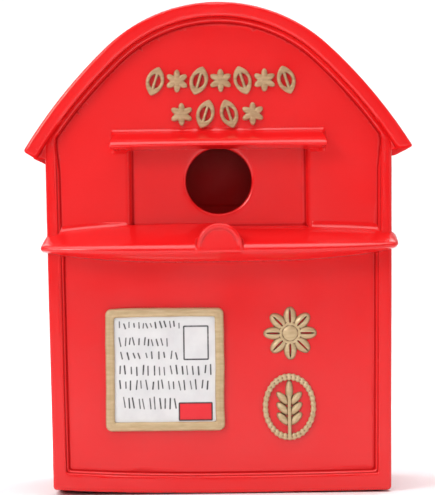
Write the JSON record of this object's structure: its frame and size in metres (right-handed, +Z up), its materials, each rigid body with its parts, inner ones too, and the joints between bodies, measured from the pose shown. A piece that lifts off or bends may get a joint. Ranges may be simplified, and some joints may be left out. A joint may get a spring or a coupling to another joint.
{
  "type": "nest box",
  "caption": "Garden nest box shaped like a wall post box: arched roof, round entrance under a hood, sill, raised trim, and a hinged rear hatch with a turn button.",
  "frame": {"origin": "middle of the base, at the level the box stands on", "axes": "+X to the right seen from the front, -Y the front, +Z up"},
  "size_m": [0.19, 0.13, 0.24],
  "materials": {
    "shell_paint": "cast resin, hand painted, satin gloss red",
    "back_paint": "moulded back panel painted darker red, satin",
    "gold_paint": "brushed on antique gold paint",
    "card_paint": "off-white paint with fine dark marks",
    "zinc_steel": "zinc plated",
    "brass": "dull lacquered brass"
  },
  "bodies": {
    "box": {"back_panel": "back_paint", "back_panel_screw_1": "zinc_steel", "back_panel_screw_2": "zinc_steel", "back_panel_screw_3": "zinc_steel", "back_panel_screw_4": "zinc_steel", "body_shell": "shell_paint", "button_screw": "zinc_steel", "button_washer": "zinc_steel", "flower_emblem": "gold_paint", "hanger_screw_1": "zinc_steel", "hanger_screw_2": "zinc_steel", "hinge_lower_fixed_leaf": "zinc_steel", "hinge_lower_panel_screw_1": "zinc_steel", "hinge_lower_panel_screw_2": "zinc_steel", "hinge_lower_pin": "zinc_steel", "hinge_upper_fixed_leaf": "zinc_steel", "hinge_upper_panel_screw_1": "zinc_steel", "hinge_upper_panel_screw_2": "zinc_steel", "hinge_upper_pin": "zinc_steel", "hood_ledge": "shell_paint", "keyhole_hanger": "zinc_steel", "notice_card": "card_paint", "notice_frame": "gold_paint", "roof_shell": "shell_paint", "sill_ledge": "shell_paint", "title_lower_flower_1": "gold_paint", "title_lower_flower_4": "gold_paint", "title_lower_leaf_2": "gold_paint", "title_lower_leaf_3": "gold_paint", "title_upper_flower_2": "gold_paint", "title_upper_flower_4": "gold_paint", "title_upper_flower_6": "gold_paint", "title_upper_leaf_1": "gold_paint", "title_upper_leaf_3": "gold_paint", "title_upper_leaf_5": "gold_paint", "title_upper_leaf_7": "gold_paint", "wreath_emblem": "gold_paint"},
    "hatch": {"hatch_knob": "brass", "hinge_lower_hatch_screw_1": "zinc_steel", "hinge_lower_hatch_screw_2": "zinc_steel", "hinge_lower_moving_leaf": "zinc_steel", "hinge_upper_hatch_screw_1": "zinc_steel", "hinge_upper_hatch_screw_2": "zinc_steel", "hinge_upper_moving_leaf": "zinc_steel", "rear_hatch": "back_paint"},
    "button": {"turn_button": "brass"}
  },
  "joints": [
    {"name": "hatch_hinge", "type": "hinge", "parent": "box", "child": "hatch", "pos_m": [-0.058, 0.0573, 0.083], "axis": [0, 0, 1], "range_deg": [0, 110]},
    {"name": "button_turn", "type": "hinge", "parent": "box", "child": "button", "pos_m": [0.062, 0.057, 0.083], "axis": [0, 1, 0], "range_deg": [0, 90]}
  ]
}
